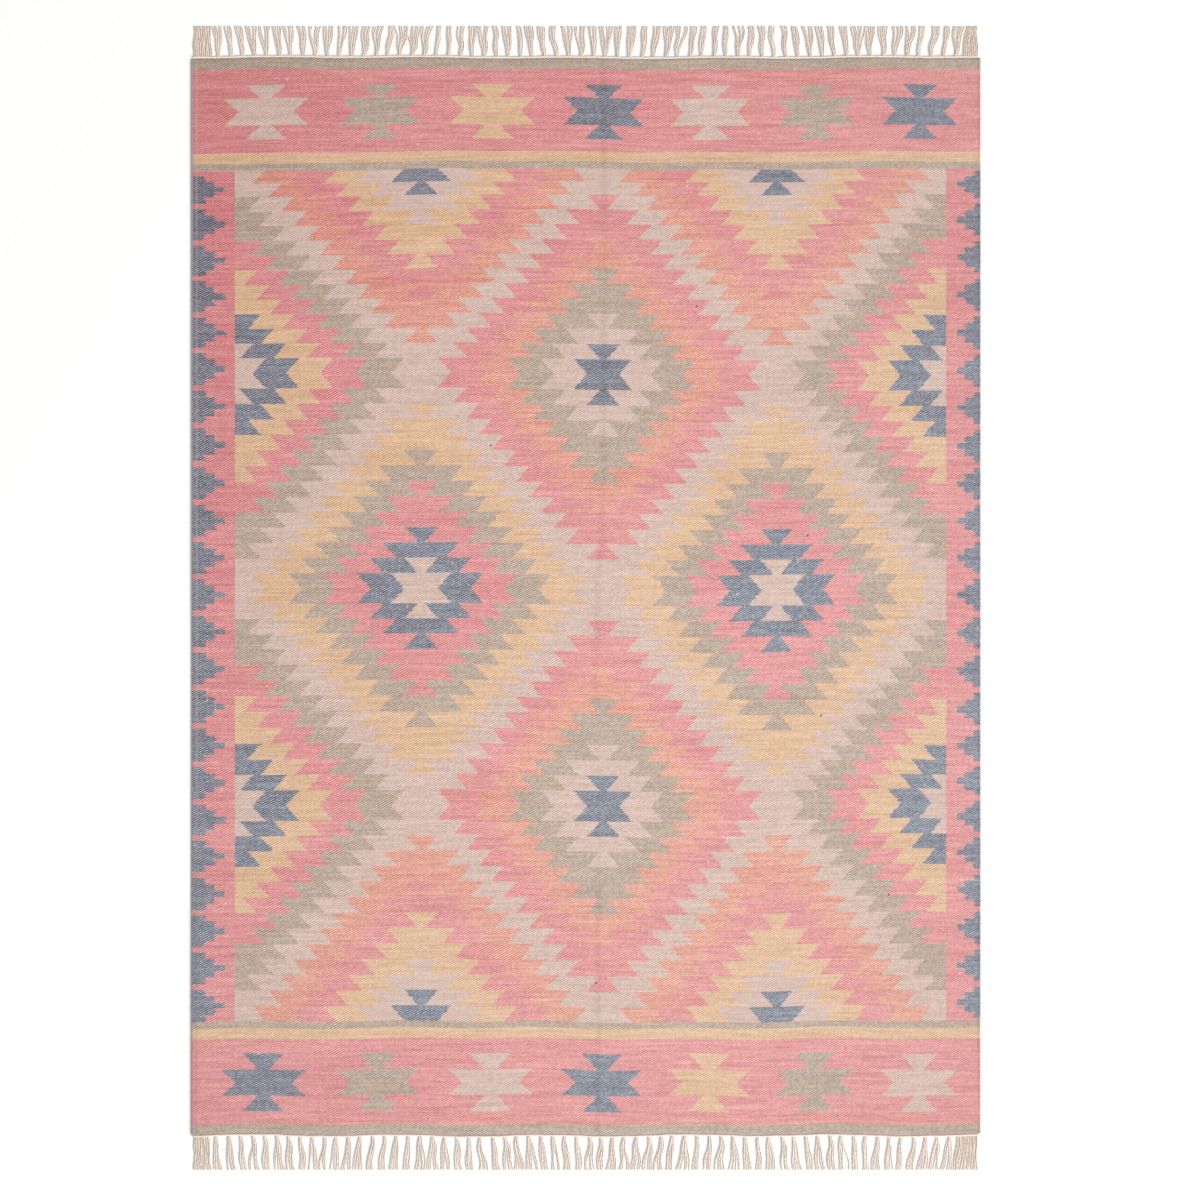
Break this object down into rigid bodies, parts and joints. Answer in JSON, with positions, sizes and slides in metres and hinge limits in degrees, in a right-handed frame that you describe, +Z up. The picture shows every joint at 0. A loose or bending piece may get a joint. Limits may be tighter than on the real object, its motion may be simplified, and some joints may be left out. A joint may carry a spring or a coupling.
{
  "type": "kilim rug",
  "caption": "Flat-woven kilim rug with stepped diamond bands in soft pink, yellow, sage and blue, hourglass end borders and fringed ends, lying flat.",
  "frame": {"origin": "on the floor, under the middle of the rug with its fringes", "axes": "+Y along the warps towards the far fringe, +X across the rug to the right selvedge, +Z up out of the walking face"},
  "size_m": [1.4, 2.0294, 0.004],
  "materials": {
    "woven_yarn": "matte weft-faced flat weave, coarse yarn",
    "fringe_yarn": "matte undyed plied yarn"
  },
  "bodies": {
    "root": {"woven_ground": "woven_yarn", "far_fringe": "fringe_yarn", "near_fringe": "fringe_yarn"}
  },
  "joints": []
}
